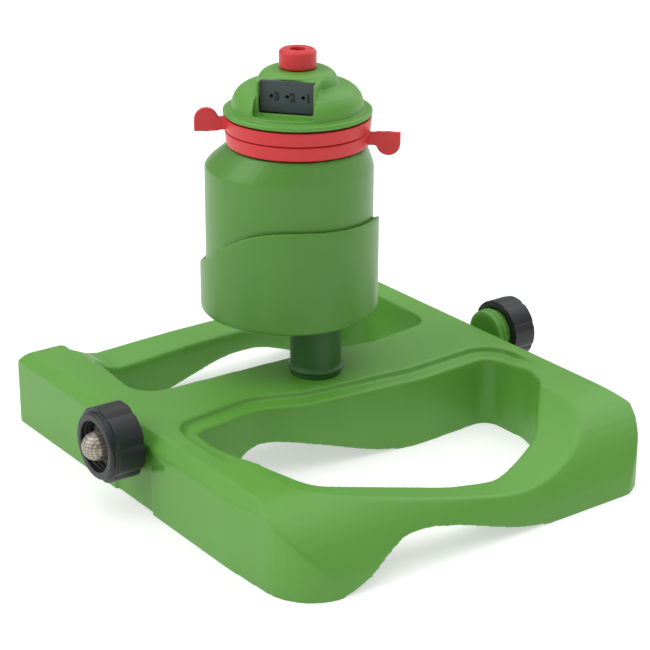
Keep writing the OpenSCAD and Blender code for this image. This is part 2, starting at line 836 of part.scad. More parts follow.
module turbine_pinion() {
    color(cream)
    translate([axis_1.x, axis_1.y, level_z])
        difference() {
            gear(pinion_teeth, 0, gear_face);
            translate([0, 0, -cut]) cylinder(r = pin_r, h = gear_face + 2 * cut);
        }
}

module turbine_shaft() {
    color(steel) cylinder_from(pin_r, stator_z + 1.2, level_z + gear_face, axis_1.x, axis_1.y);
}

module turbine_wheel() {
    hub = 4;
    color(cream)
    translate([axis_1.x, axis_1.y, turbine_z])
        difference() {
            union() {
                cylinder(r = hub, h = turbine_h);
                difference() {
                    cylinder(r = turbine_r, h = turbine_h);
                    translate([0, 0, -cut]) cylinder(r = turbine_r - 1.2, h = turbine_h + 2 * cut);
                }
                for (i = [0 : blade_count - 1])
                    rotate([0, 0, i * 360 / blade_count])
                        translate([hub - 0.6, 0, turbine_h / 2])
                            rotate([24, 0, 0])
                                translate([0, -0.5, -turbine_h / 2 + 0.7])
                                    cube([turbine_r - hub - 0.2, 1, turbine_h - 1.4]);
            }
            translate([0, 0, -cut]) cylinder(r = pin_r, h = turbine_h + 2 * cut);
        }
}

gearbox_at = [2, head_y + 18];
gearbox_r = 30;
post_ring = 26.5;
post_r = 2.6;
module at_posts() {
    for (a = [0, 90, 180])
        translate([gearbox_at.x + post_ring * cos(a), gearbox_at.y + post_ring * sin(a), 0]) children();
}

module gearbox_base() {
    color(cream)
    difference() {
        union() {
            at_house() cylinder_from(shell_in - fit_gap, gear_base_z, gear_base_z + plate_t);
            at_posts() cylinder_from(post_r, gear_base_z, gear_top_z - fit_gap);
        }
        cylinder_from(pin_r + run_gap, gear_base_z - cut, gear_top_z, axis_1.x, axis_1.y);
        cylinder_from(pin_r, gear_base_z - cut, gear_top_z, axis_2.x, axis_2.y);
        at_posts() cylinder_from(1.2, gear_top_z - 9, gear_top_z + cut);
        at_trip() cylinder_from(trip_r + run_gap, gear_base_z - cut, gear_base_z + plate_t + cut);
        // water passes up to the stem
        for (a = [-125, -100, -75, -50])
            at_house() rotate([0, 0, a]) translate([30, 0, gear_base_z - cut])
                cylinder(r = 5, h = plate_t + 2 * cut);
    }
}

module gearbox_cover() {
    color(cream)
    difference() {
        union() {
            cylinder_from(gearbox_r, gear_top_z, gear_top_z + plate_t, gearbox_at.x, gearbox_at.y);
            cylinder_from(stem_r + 3, gear_top_z, gear_top_z + plate_t, 0, head_y);
        }
        cylinder_from(pin_r, gear_top_z - cut, gear_top_z + plate_t + cut, axis_1.x, axis_1.y);
        cylinder_from(pin_r, gear_top_z - cut, gear_top_z + plate_t + cut, axis_2.x, axis_2.y);
        cylinder_from(stem_r + run_gap, gear_top_z - cut, gear_top_z + plate_t + cut, 0, head_y);
        at_posts() cylinder_from(1.2 + fit_gap, gear_top_z - cut, gear_top_z + plate_t + cut);
    }
}

module gearbox_screws() {
    color(steel)
        at_posts()
            translate([0, 0, gear_top_z + plate_t])
                mirror([0, 0, 1]) screw(0, 10, 1.2, 2.4, 1.6);
}

module gear_pins() {
    color(steel) {
        cylinder_from(pin_r, level_z + gear_face + 0.5, gear_top_z + plate_t, axis_1.x, axis_1.y);
        cylinder_from(pin_r, gear_base_z, gear_top_z + plate_t, axis_2.x, axis_2.y);
    }
}

jet_ring = turbine_r * 0.72;
gate_turn = 38; // from the trip shaft towards the turbine
port_reach = 13;
port_r = 3;
module at_ports() {
    for (s = [-1, 1])
        at_trip() rotate([0, 0, gate_turn + 22 * s]) translate([port_reach, 0, 0]) children();
}

module stator_plate() {
    color(cream)
    difference() {
        at_house() cylinder_from(shell_in - fit_gap, stator_z, stator_z + stator_t);
        at_house_screws() cylinder_from(boss_r + 1.2, stator_z - cut, stator_z + stator_t + cut);
        // jets that lean round the turbine
        for (i = [0 : 5])
            translate([axis_1.x, axis_1.y, stator_z + stator_t / 2])
                rotate([0, 0, i * 60 + 20])
                    translate([jet_ring, 0, 0])
                        rotate([35, 0, 0]) cylinder(r = 1.5, h = 4 * stator_t, center = true);
        cylinder_from(pin_r + run_gap, stator_z + 1, stator_z + stator_t + cut, axis_1.x, axis_1.y);
        at_trip() cylinder_from(trip_r + run_gap, stator_z - cut, stator_z + stator_t + cut);
        at_ports() cylinder_from(port_r, stator_z - cut, stator_z + stator_t + cut);
    }
}

// ---------- trip gear ----------

gate_t = 1.6;
gate_z = stator_z - gate_t - free_gap;
lever_z = shoulder_top + 1.2;
lever_t = 2.8;
horn = 9;
horn_turn = 35;
spring_z = shoulder_top - 9 - 8;

module trip_shaft() {
    color(steel)
        at_trip() cylinder_from(trip_r, gate_z - 0.6, lever_z + lever_t + 0.3);
}

module reversing_gate() {
    color(cream)
    at_trip()
        difference() {
            union() {
                cylinder_from(3.6, gate_z, gate_z + gate_t);
                rotate([0, 0, gate_turn]) {
                    translate([0, -2.2, gate_z]) cube([port_reach - 2, 4.4, gate_t]);
                    translate([port_reach, 0, gate_z]) cylinder(r = port_r + 1.2, h = gate_t);
                }
            }
            cylinder_from(trip_r, gate_z - cut, gate_z + gate_t + cut);
        }
}

module trip_lever() {
    // wishbone: at the middle of its travel both horns clear the ring lugs
    color(grey)
    at_trip()
        difference() {
            union() {
                cylinder_from(3.4, lever_z, lever_z + lever_t);
                for (s = [-1, 1])
                    rotate([0, 0, 180 + s * horn_turn]) {
                        translate([0, -1.3, lever_z]) cube([horn - 1.3, 2.6, lever_t]);
                        translate([horn - 1.3, 0, lever_z]) cylinder(r = 1.3, h = lever_t);
                    }
            }
            cylinder_from(trip_r, lever_z - cut, lever_z + lever_t + cut);
        }
}

module trip_seal() {
    color(rubber)
    at_trip()
        difference() {
            cylinder_from(3.2, shoulder_top - 9 - 1.5, shoulder_top - 9);
            cylinder_from(trip_r + run_gap, shoulder_top - 12, shoulder_top);
        }
}

// Tube along a list of points, square to its path
function ring_at(p, along, r, sides) =
    let (t = unit(along), u = unit(cross(t, [0, 0, 1])), v = cross(u, t))
    [for (i = [0 : sides - 1]) p + r * (u * cos(i * 360 / sides) + v * sin(i * 360 / sides))];
module tube(points, r, sides) {
    n = len(points);
    skin = [for (i = [0 : n - 1])
        each ring_at(points[i], points[min(n - 1, i + 1)] - points[max(0, i - 1)], r, sides)];
    polyhedron(skin, concat(
        [[for (i = [0 : sides - 1]) i]],
        [for (k = [0 : n - 2], i = [0 : sides - 1]) let (j = (i + 1) % sides)
            [k * sides + j, k * sides + i, (k + 1) * sides + i, (k + 1) * sides + j]],
        [[for (i = [sides - 1 : -1 : 0]) (n - 1) * sides + i]]));
}

module toggle_spring() {
    // torsion coil round the trip shaft, with a straight leg at each end
    coil_r = 2.9;
    turns = 4;
    wire = 0.35;
    rise = 5;
    steps = 12 * turns;
    color(steel)
    at_trip()
        tube(concat(
            [[coil_r, -7, spring_z]],
            [for (i = [0 : steps]) let (a = i * 30)
                [coil_r * cos(a), coil_r * sin(a), spring_z + rise * i / steps]],
            [[coil_r, 7, spring_z + rise]]), wire, 8);
}

// ---------- head ----------

bushing_z = shoulder_top - 12;
module stem_bushing() {
    color(cream)
    at_head()
        difference() {
            union() {
                cylinder_from(bushing_r - fit_gap, bushing_z, shoulder_top + 0.4);
                cylinder_from(bushing_r + 2, shoulder_top, shoulder_top + 1);
            }
            cylinder_from(stem_r + run_gap, bushing_z - cut, shoulder_top + 2);
            cylinder_from(stem_r + 1.6, bushing_z - cut, bushing_z + 3);
        }
}

module stem_seal() {
    color(rubber)
    at_head()
        difference() {
            cylinder_from(stem_r + 1.5, bushing_z, bushing_z + 2.8);
            cylinder_from(stem_r + run_gap, bushing_z - cut, bushing_z + 4);
        }
}

module thrust_washer() {
    color(steel)
    at_head()
        difference() {
            cylinder_from(stem_r + 3.4, bushing_z - 1.6, bushing_z - 0.6);
            cylinder_from(stem_r, bushing_z - 3, bushing_z);
        }
}

rim_z = shoulder_top + 1 + 2 * ring_h + 0.4 + 0.9; // underside of the dome's rim
rim_t = 2.6;
dome_top = rim_z + dome_h;
base_plate_z = lever_z + lever_t + 1;
skirt_r = ring_r - 3.7;
socket_h = 6;
stem_top = base_plate_z + 5;

module output_stem() {
    color(cream)
    at_head()
        difference() {
            cylinder_from(stem_r, level_z + 3 * level_pitch, stem_top);
            cylinder_from(stem_r - 2, level_z, stem_top + cut);
        }
}

module drive_gear() {
    color(cream)
    translate([0, head_y, level_z + 3 * level_pitch])
        difference() {
            gear(drive_teeth, phase_drive, gear_face);
            translate([0, 0, -cut]) cylinder(r = stem_r, h = gear_face + 2 * cut);
            for (i = [0 : 5])
                rotate([0, 0, i * 60]) translate([(drive_pitch_r + stem_r) / 2 - 0.3, 0, -cut])
                    cylinder(r = 3, h = gear_face + 2 * cut);
        }
}

dome_wall = 2.4;
module at_window() {
    // the window's own frame: x across, y inwards from the face, z up
    translate([0, head_y, 0]) rotate([0, 0, window_turn]) children();
}

face_out = 25; // window face, from the head axis
block_w = window_w + 3.2;
window_z = rim_z + 5.2;
plate_in = 3.4; // depth of the recess down to the nozzle plate
nozzle_plate_t = 2;
nozzle_z = window_z + window_h * 0.52;

// Outline of the dome, radius against height above the rim: a low dome and a smaller one
low_r = rim_r - 4.4;
top_r = 21.5;
low_h = dome_h - 8;
function dome_line(d) = concat(
    [[0, 0], [low_r - d, 0], [low_r - d, rim_t + 1.6]],
    [for (k = [1 : 6]) let (a = 90 * k / 6)
        [low_r - 12 + (12 - d) * cos(a), rim_t + 1.6 + (low_h - rim_t - 1.6 - d) * sin(a)]],
    [[top_r - d, low_h - d]],
    [for (k = [0 : 5]) let (a = 90 * k / 5)
        [top_r - 8 + (8 - d) * cos(a), low_h + (dome_h - low_h - d) * sin(a)]],
    [[0, dome_h - d]]);

module dome_form(d) {
    translate([0, head_y, rim_z]) rotate_extrude() polygon(dome_line(d));
}

module window_block(d) {
    // block that carries the window, running back into the upper dome
    at_window()
        translate([-block_w / 2 + d, -face_out + d, rim_z + rim_t - 1])
            cube([block_w - 2 * d, face_out - d, dome_h - rim_t - 1.4 - d]);
}

// Clears the dome in front of the window
module window_notch() {
    at_window()
        translate([-block_w / 2, -face_out - 20, window_z - 0.8])
            cube([block_w, 20, dome_h]);
}

module head_dome() {
    color(green)
    difference() {
        union() {
            dome_form(0);
            intersection() {
                window_block(0);
                dome_cap(0);
            }
            at_head() cylinder_from(rim_r, rim_z, rim_z + rim_t);
        }
        difference() {
            union() {
                translate([0, 0, -0.01]) dome_form(dome_wall);
                intersection() {
                    window_block(dome_wall);
                    dome_cap(dome_wall);
                }
            }
            // screw posts stay solid, and so does the skin behind the notch
            at_head_screws() cylinder_from(3.4, rim_z - cut, dome_top);
            at_window()
                translate([-block_w / 2 - dome_wall, -face_out - 20, window_z - 0.8 - dome_wall])
                    cube([block_w + 2 * dome_wall, 20, dome_h]);
            at_window()
                translate([-block_w / 2 - dome_wall, -face_out - 0.01, rim_z - cut])
                    cube([block_w + 2 * dome_wall, dome_wall, dome_h]);
        }
        window_notch();
        at_window()
            translate([-window_w / 2, -face_out - cut, window_z])
                cube([window_w, 7 + cut, window_h]);
        at_head() cylinder_from(knob_stem_r + run_gap, dome_top - 12, dome_top + cut);
        at_head_screws() cylinder_from(1.3, rim_z - cut, rim_z + 8);
    }
}

// Round limit that trims the block's rear corners
module dome_cap(d) {
    at_head() cylinder_from(low_r - 4.5 - d, rim_z, dome_top - 1.2 - d);
}

knob_stem_r = 3.2;
head_screw_ring = 25;
module at_head_screws() {
    for (a = [60, 180, 300])
        at_head() rotate([0, 0, window_turn + a + 30]) translate([head_screw_ring, 0, 0]) children();
}

module head_base() {
    color(green)
    difference() {
        union() {
            at_head() {
                cylinder_from(skirt_r, base_plate_z, base_plate_z + 2.4);
                difference() {
                    cylinder_from(skirt_r, base_plate_z, rim_z - fit_gap);
                    cylinder_from(skirt_r - 2.2, base_plate_z - cut, rim_z + cut);
                }
                cylinder_from(stem_r + 3, base_plate_z, base_plate_z + socket_h);
            }
            at_head_screws() cylinder_from(3.4, base_plate_z, rim_z - fit_gap);
        }
        at_head() {
            cylinder_from(stem_r, base_plate_z - cut, stem_top);
            cylinder_from(stem_r - 2, base_plate_z, base_plate_z + socket_h + cut);
        }
        at_head_screws() {
            cylinder_from(1.3 + fit_gap, base_plate_z - cut, rim_z + cut);
            cylinder_from(2.6 + fit_gap, base_plate_z - cut, base_plate_z + 1.8);
        }
    }
}

module head_screws() {
    color(steel)
        at_head_screws()
            translate([0, 0, base_plate_z + 1.8]) screw(0, rim_z + 7 - base_plate_z - 1.8, 1.3, 2.6, 1.6);
}

body_front = face_out - plate_in - nozzle_plate_t - fit_gap;
drum_r = 7;
body_z = base_plate_z + socket_h + fit_gap;
body_top = nozzle_z + 4.5;
nozzle_gap = 7.6; // between neighbouring nozzles
drum_foot = body_z + 3;

module nozzle_body() {
    color(grey)
    difference() {
        union() {
            at_head() cylinder_from(drum_r + 2.6, body_z, body_top);
            at_window()
                translate([-window_w / 2 + 4, -body_front, nozzle_z - 4.5])
                    cube([window_w - 8, body_front - 4, 9]);
        }
        at_head() {
            cylinder_from(drum_r + run_gap, drum_foot, body_top + cut);
            cylinder_from(stem_r - 2, body_z - cut, drum_foot + cut);
        }
        at_window()
            for (i = [-1 : 1])
                translate([0, 0, nozzle_z])
                    rotate([0, 0, atan(i * nozzle_gap / body_front)])
                        rotate([90, 0, 0]) cylinder(r = 1.3, h = 2 * face_out);
    }
}

module selector_drum() {
    color(cream)
    difference() {
        union() {
            at_head() cylinder_from(drum_r, drum_foot + fit_gap, body_top);
            at_head() cylinder_from(knob_stem_r, body_top - 1, dome_top + 1.5);
        }
        at_head() cylinder_from(drum_r - 2, drum_foot - cut, body_top - 2.5);
        // one port that the knob turns to the nozzle in use
        at_window()
            translate([0, 0, nozzle_z]) rotate([90, 0, 0]) cylinder(r = 1.6, h = 2 * drum_r);
    }
}

module nozzle_plate() {
    color(grey)
    difference() {
        at_window()
            translate([-window_w / 2 + fit_gap, -face_out + plate_in, window_z + fit_gap])
                cube([window_w - 2 * fit_gap, nozzle_plate_t, window_h - 2 * fit_gap]);
        at_window()
            for (i = [-1 : 1])
                translate([i * nozzle_gap * (face_out - plate_in) / body_front, 0, nozzle_z])
                    rotate([90, 0, 0]) cylinder(r = 1, h = 2 * face_out);
    }
}

module knob() {
    z0 = dome_top + 0.5;
    edge = 1.4;
    color(red)
    difference() {
        at_head() {
            cylinder_from(knob_r, z0, z0 + knob_h - edge);
            translate([0, 0, z0 + knob_h - edge]) cylinder(r1 = knob_r, r2 = knob_r - edge, h = edge);
        }
        at_head() cylinder_from(knob_stem_r, z0 - cut, dome_top + 1.5);
        // hexagonal key recess
        at_head() translate([0, 0, z0 + knob_h - 4]) cylinder(r = 4.4, h = 6, $fn = 6);
    }
}

// ---------- trip rings ----------

lower_ring_z = shoulder_top + 1;
upper_ring_z = lower_ring_z + ring_h + 0.4;
ring_in = skirt_r + 0.35;
sleeve_r = ring_in + 1.2;
lug_in = 34.1;
lug_t = 1.1;
lower_lug_z = lower_ring_z + 0.2;
upper_lug_z = lower_lug_z + lug_t + free_gap;

// Flat paddle in a vertical plane: round at one end, flat at the other
module tab(up) {
    r = tab_d / 2;
    mid = up ? r - 0.6 : ring_h - r + 0.6;
    arm_r = ring_r - 0.6;
    arm_in = 0.2; // the arm is this much thinner than the ring on each side
    rotate([90, 0, 0])
        linear_extrude(3, center = true) {
            translate([ring_r + 3.6 + r, mid]) circle(r);
            translate([ring_r + 3.6, up ? -0.2 : ring_h - r + 0.8]) square([tab_d, r - 0.6]);
            translate([arm_r, arm_in]) square([6, ring_h - 2 * arm_in]);
        }
}

module trip_ring_lower() {
    color(red)
    translate([0, head_y, lower_ring_z]) {
        difference() {
            cylinder(r1 = ring_r - 0.4, r2 = ring_r + 0.3, h = ring_h);
            translate([0, 0, -cut]) cylinder(r = sleeve_r + 0.3, h = ring_h + 2 * cut);
        }
        rotate([0, 0, lower_tab_turn]) tab(false);
        // lug that meets the trip lever
        ring_lug(lower_lug_z - lower_ring_z, lower_tab_turn, sleeve_r + 0.6, lug_t);
    }
}

module trip_ring_upper() {
    sleeve_z = upper_lug_z + lug_t - upper_ring_z;
    color(red)
    translate([0, head_y, upper_ring_z]) {
        difference() {
            union() {
                cylinder(r1 = ring_r + 0.3, r2 = ring_r + 1, h = ring_h);
                translate([0, 0, sleeve_z]) cylinder(r = sleeve_r, h = -sleeve_z + 1);
            }
            translate([0, 0, sleeve_z - cut]) cylinder(r = ring_in, h = 3 * ring_h);
        }
        rotate([0, 0, upper_tab_turn]) tab(true);
        ring_lug(upper_lug_z - upper_ring_z, upper_tab_turn, sleeve_r, lug_t + 0.2);
    }
}

module ring_lug(z, turn, r_out, h) {
    intersection() {
        difference() {
            translate([0, 0, z]) cylinder(r = r_out, h = h);
            translate([0, 0, z - cut]) cylinder(r = lug_in, h = lug_t + 3 * cut);
        }
        rotate([0, 0, turn]) translate([0, -3, z - cut]) cube([2 * ring_r, 6, 3 * cut + lug_t]);
    }
}

sled_base();
water_pipe();
saddle_left();
saddle_right();
saddle_screws();
riser_post();
riser_seal();
coupling_clip();
housing_boot();
housing_shell();
housing_gasket();
housing_screws();
stator_plate();
gearbox_base();
gearbox_cover();
gearbox_screws();
gear_pins();
stem_bushing();
stem_seal();
trip_seal();
inlet_coupling();
inlet_washer();
inlet_filter();
cap_washer();
end_cap();
turbine_wheel();
turbine_shaft();
turbine_pinion();
gear_1();
gear_2();
gear_3();
output_stem();
drive_gear();
thrust_washer();
head_base();
head_dome();
head_screws();
nozzle_body();
nozzle_plate();
knob();
selector_drum();
trip_shaft();
trip_lever();
reversing_gate();
toggle_spring();
trip_ring_upper();
trip_ring_lower();
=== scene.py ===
import json
import math

import bpy
import numpy as np
from bpy.props import FloatProperty, FloatVectorProperty, PointerProperty
from mathutils import Matrix, Vector


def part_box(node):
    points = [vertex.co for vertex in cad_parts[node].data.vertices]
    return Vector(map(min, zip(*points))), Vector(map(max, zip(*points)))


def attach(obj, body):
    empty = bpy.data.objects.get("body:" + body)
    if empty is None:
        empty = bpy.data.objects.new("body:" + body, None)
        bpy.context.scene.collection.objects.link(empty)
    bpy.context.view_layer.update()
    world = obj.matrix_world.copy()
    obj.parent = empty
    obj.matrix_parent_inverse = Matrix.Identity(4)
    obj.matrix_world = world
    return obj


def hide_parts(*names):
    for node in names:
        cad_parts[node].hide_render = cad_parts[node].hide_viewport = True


bl_info = {
    "name": "Rotary garden sprinkler",
    "version": (1, 0, 0),
    "blender": (4, 5, 0),
    "location": "View3D > Sidebar > Sprinkler",
    "description": "Finishes a gear driven garden sprinkler on its sled round the packed CAD frame",
    "category": "Object",
}

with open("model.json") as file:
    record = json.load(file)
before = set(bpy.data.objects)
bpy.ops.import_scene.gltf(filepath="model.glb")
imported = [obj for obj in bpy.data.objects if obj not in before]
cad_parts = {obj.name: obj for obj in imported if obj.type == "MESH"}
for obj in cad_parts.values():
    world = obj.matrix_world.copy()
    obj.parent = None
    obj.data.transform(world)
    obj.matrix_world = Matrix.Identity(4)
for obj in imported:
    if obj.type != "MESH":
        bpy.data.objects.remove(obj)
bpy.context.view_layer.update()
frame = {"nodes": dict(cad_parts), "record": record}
NODES = frame["nodes"]
MM = 0.001
MOST_TRIANGLES = 185000
WELD_MM = 0.002  # corners nearer than this are one corner
ZONE_FADE_MM = 8.0  # over this depth a smoothing zone reaches its full strength
ZONE_STEPS = 8
GROUND_MM = 0.6  # lower than this a corner stands on the ground

# Stretches of the sled that are relaxed further: low corner, high corner (mm) and passes
SLED_ZONES = (
    ((-104, 78, 16), (108, 108, 60), 90),  # the rear bar, nearly round
    ((-112, -62, 26), (112, 10, 60), 22),  # the rims behind the front opening
    ((-112, -160, 10), (112, -60, 60), 14),  # the rims round its front
)

SCREW_NODES = ("saddle_screws", "housing_screws", "gearbox_screws", "head_screws")
SCREW_PITCH = 1.1 * MM
SCREW_SIDES = 24

# Far, broad lights: name, direction towards the light, strength, spread in degrees
SOFTBOXES = (
    ("left softbox", (-0.8, 0.3, 0.55), 1.15, 45),
    ("top softbox", (0.1, 0.15, 1.0), 0.95, 80),
    ("right softbox", (0.9, 0.1, 0.45), 0.55, 50),
)
SKY_HORIZON, SKY_TOP = 0.16, 1.05
CAMERA_TARGET_MM = (-3.6, -13.2, 75.1)


# ---------------------------------------------------------------- colours and nodes

def linear(hex_colour):
    """Turns an sRGB hex colour into the linear RGB that sockets and properties hold."""
    channels = [int(hex_colour[i:i + 2], 16) / 255 for i in (0, 2, 4)]
    return tuple(c / 12.92 if c <= 0.04045 else ((c + 0.055) / 1.055) ** 2.4 for c in channels)


def per_metre(size_mm):
    """Scale of a noise whose features are about this many millimetres across."""
    return 1000.0 / size_mm


def add_node(tree, kind, inputs=None, **settings):
    """Adds one node. settings are its own properties, and inputs are values or sockets for its inputs."""
    node = tree.nodes.new(kind)
    for name, value in settings.items():
        setattr(node, name, value)
    for key, value in (inputs or {}).items():
        if isinstance(value, bpy.types.NodeSocket):
            tree.links.new(value, node.inputs[key])
        else:
            node.inputs[key].default_value = value
    return node


def ramp(tree, factor, stops):
    """A colour ramp from (position, linear colour) stops."""
    node = add_node(tree, "ShaderNodeValToRGB", {"Fac": factor})
    marks = node.color_ramp.elements
    while len(marks) < len(stops):
        marks.new(0.5)
    for mark, (place, colour) in zip(marks, stops):
        mark.position = place
        mark.color = (*colour, 1.0)
    return node.outputs["Color"]


def shade(colour, factor):
    """The same colour, lighter or darker."""
    return tuple(min(1.0, c * factor) for c in colour)


def new_material(name):
    material = bpy.data.materials.new(name)
    material.use_nodes = True
    material.node_tree.nodes.clear()
    return material, material.node_tree


def close_material(tree, shader):
    add_node(tree, "ShaderNodeOutputMaterial", {"Surface": shader.outputs[0]})


def noise(tree, place, size_mm, **more):
    """Noise with features about size_mm across."""
    return add_node(tree, "ShaderNodeTexNoise", {"Vector": place, "Scale": per_metre(size_mm), **more}).outputs["Fac"]


def mixed(tree, factor, first, second):
    """A colour between two, each a socket or a linear colour."""
    ends = [end + (1,) if isinstance(end, tuple) else end for end in (first, second)]
    return add_node(tree, "ShaderNodeMix", {"Factor": factor, "A": ends[0], "B": ends[1]},
                    data_type="RGBA").outputs["Result"]


def bumped(tree, height, strength, depth_mm, **more):
    return add_node(tree, "ShaderNodeBump", {"Height": height, "Strength": strength,
                                             "Distance": depth_mm * MM, **more}).outputs["Normal"]


def spread(tree, value, low, high):
    """Maps 0 to 1 on low to high."""
    return add_node(tree, "ShaderNodeMapRange", {"Value": value, "To Min": low, "To Max": high}).outputs["Result"]


def moulded_plastic(name, colour, roughness=0.38, grain_mm=0.7, grain_depth_mm=0.012, worn=1.12, mottle=0.05):
    """Injection moulded polypropylene or ABS: an even colour with faint flow marks, a fine satin
    texture from the tool, slightly paler rubbed edges, and a broad soft highlight."""
    material, tree = new_material(name)
    place = add_node(tree, "ShaderNodeTexCoord").outputs["Object"]
    # flow of the melt: soft clouds about 35 mm across that shift the colour by a few per cent
    cloud = noise(tree, place, 35, Detail=3.0, Roughness=0.5)
    base = ramp(tree, cloud, [(0.3, shade(colour, 1 - mottle)), (0.7, shade(colour, 1 + mottle))])
    # pigment specks about 1.2 mm across
    speck = noise(tree, place, 1.2, Detail=2.0)
    body = mixed(tree, 0.3, base, mixed(tree, speck, shade(colour, 0.94), shade(colour, 1.05)))
    # handling rubs convex edges paler
    pointed = add_node(tree, "ShaderNodeNewGeometry").outputs["Pointiness"]
    edge = add_node(tree, "ShaderNodeMapRange", {"Value": pointed, "From Min": 0.52, "From Max": 0.62,
                                                 "To Min": 0.0, "To Max": 0.55}).outputs["Result"]
    rubbed = mixed(tree, edge, body, shade(colour, worn))
    # satin texture of the tool, drawn a little coarser than the real 0.2 mm so that it shows
    grain = noise(tree, place, grain_mm, Detail=3.0, Roughness=0.6)
    # long shallow ripples from the cooling wall, about 18 mm apart
    ripple = noise(tree, place, 18, Detail=1.0)
    surface = bumped(tree, grain, 0.6, grain_depth_mm, Normal=bumped(tree, ripple, 0.5, 0.12))
    shader = add_node(tree, "ShaderNodeBsdfPrincipled", {
        "Base Color": rubbed, "Roughness": spread(tree, cloud, roughness - 0.05, roughness + 0.06),
        "Normal": surface, "IOR": 1.49, "Specular IOR Level": 0.45})
    close_material(tree, shader)
    return material


def drawn_steel(name):
    """Stainless steel bar: bright, with fine lines from drawing and turning."""
    material, tree = new_material(name)
    place = add_node(tree, "ShaderNodeTexCoord").outputs["Object"]
    # lines 2.5 mm across, squeezed twelve times along the bar
    stretched = add_node(tree, "ShaderNodeMapping", {"Vector": place, "Scale": (1.0, 1.0, 12.0)})
    lines = noise(tree, stretched.outputs["Vector"], 2.5, Detail=4.0)
    tone = ramp(tree, lines, [(0.2, linear("9FA3A6")), (0.8, linear("C9CBCC"))])
    close_material(tree, add_node(tree, "ShaderNodeBsdfPrincipled", {
        "Base Color": tone, "Roughness": spread(tree, lines, 0.22, 0.38), "Metallic": 1.0,
        "Normal": bumped(tree, lines, 0.25, 0.02)}))
    return material


def woven_steel(name):
    """Woven stainless filter cloth. The real wires are 0.3 mm apart, and here 0.8 mm so that the weave shows."""
    material, tree = new_material(name)
    place = add_node(tree, "ShaderNodeTexCoord").outputs["Object"]
    wires = {"Vector": place, "Scale": per_metre(0.8) / 6.283, "Distortion": 0.4}
    warp = add_node(tree, "ShaderNodeTexWave", wires, bands_direction="Y")
    weft = add_node(tree, "ShaderNodeTexWave", wires, bands_direction="Z")
    cross = add_node(tree, "ShaderNodeMath", {0: warp.outputs["Fac"], 1: weft.outputs["Fac"]},
                     operation="MULTIPLY").outputs[0]
    stain = noise(tree, place, 5, Detail=3.0)
    wire = ramp(tree, stain, [(0.3, linear("B9AFA2")), (0.7, linear("DAD5CC"))])
    close_material(tree, add_node(tree, "ShaderNodeBsdfPrincipled", {
        # painted shade: the dark 8A8075 fills the gaps between the wires; the wires' own tone varies with stain
        "Base Color": mixed(tree, cross, linear("8A8075"), wire), "Roughness": 0.45, "Metallic": 0.75,
        "Normal": bumped(tree, cross, 0.7, 0.12)}))
    return material


def seal_rubber(name):
    """Black nitrile rubber: matt, with a fine bloom."""
    material, tree = new_material(name)
    place = add_node(tree, "ShaderNodeTexCoord").outputs["Object"]
    bloom = noise(tree, place, 2.0, Detail=4.0)
    tone = ramp(tree, bloom, [(0.3, linear("141516")), (0.75, linear("2A2B2C"))])
    close_material(tree, add_node(tree, "ShaderNodeBsdfPrincipled", {
        "Base Color": tone, "Roughness": 0.78, "Normal": bumped(tree, bloom, 0.3, 0.03), "IOR": 1.52}))
    return material


FINISHES = {}


def finish(slot):
    """The material of one slot of the record, or the housing's copy of the green with painted shade, made on first
    use.
    """
    if slot not in FINISHES:
        tints = bpy.context.scene.sprinkler_colours
        green, black = tuple(tints.green), tuple(tints.black)
        makers = {
            "green_moulding": lambda: moulded_plastic("green polypropylene", green, roughness=0.42),
            # painted shade: the housing gets the same green darkened to 0.8, for the shade on its upright wall
            "housing": lambda: moulded_plastic("green polypropylene, housing in painted shade", shade(green, 0.8), roughness=0.36),
            "dark_green_moulding": lambda: moulded_plastic("dark green polypropylene", tuple(tints.dark_green),
                                                           roughness=0.45),
            "red_moulding": lambda: moulded_plastic("red polypropylene", tuple(tints.red), roughness=0.4, worn=1.1),
            "black_moulding": lambda: moulded_plastic("black acetal", black, roughness=0.4, worn=1.7, grain_mm=0.9),
            "grey_moulding": lambda: moulded_plastic("dark grey acetal", tuple(tints.grey), roughness=0.5, worn=1.3),
            "white_acetal": lambda: moulded_plastic("white acetal", linear("E4E2DA"), roughness=0.3, worn=1.0,
                                                    mottle=0.02),
            "stainless_steel": lambda: drawn_steel("stainless steel, drawn"),
            "woven_steel": lambda: woven_steel("stainless steel, woven"),
            "seal_rubber": lambda: seal_rubber("nitrile rubber"),
        }
        FINISHES[slot] = makers[slot]()
    return FINISHES[slot]


def slot_of(node):
    for part in frame["record"]["subparts"]:
        if part["node"] == node:
            return part["material_slot"]
    raise KeyError(node)


def body_of(node):
    """The body that a CAD node belongs to."""
    for body, nodes in frame["record"]["behaviour"]["bodies"].items():
        if node in nodes:
            return body
    raise KeyError(node)


# ---------------------------------------------------------------- meshes

def link(name, mesh):
    piece = bpy.data.objects.new(name, mesh)
    bpy.context.scene.collection.objects.link(piece)
    return piece


def set_finish(piece, slot):
    piece.data.materials.clear()
    piece.data.materials.append(finish(slot))


def baked(piece):
    """Replaces a piece's modifiers by the mesh that they make."""
    graph = bpy.context.evaluated_depsgraph_get()
    mesh = bpy.data.meshes.new_from_object(piece.evaluated_get(graph))
    old = piece.data
    piece.modifiers.clear()
    piece.data = mesh
    bpy.data.meshes.remove(old)
    return piece


def merged_copy(name, node):
    """A copy of a CAD node's mesh with its loose triangles joined."""
    mesh = NODES[node].data.copy()
    mesh.name = name
    piece = link(name, mesh)
    weld = piece.modifiers.new("weld", "WELD")
    weld.merge_threshold = WELD_MM * MM
    return baked(piece)


def coordinates(mesh):
    found = np.empty(len(mesh.vertices) * 3, dtype=np.float32)
    mesh.vertices.foreach_get("co", found)
    return found.reshape(-1, 3)


def add_relax(piece, name, passes, group=""):
    relax = piece.modifiers.new(name, "SMOOTH")
    relax.factor = 0.5
    relax.iterations = passes
    relax.vertex_group = group


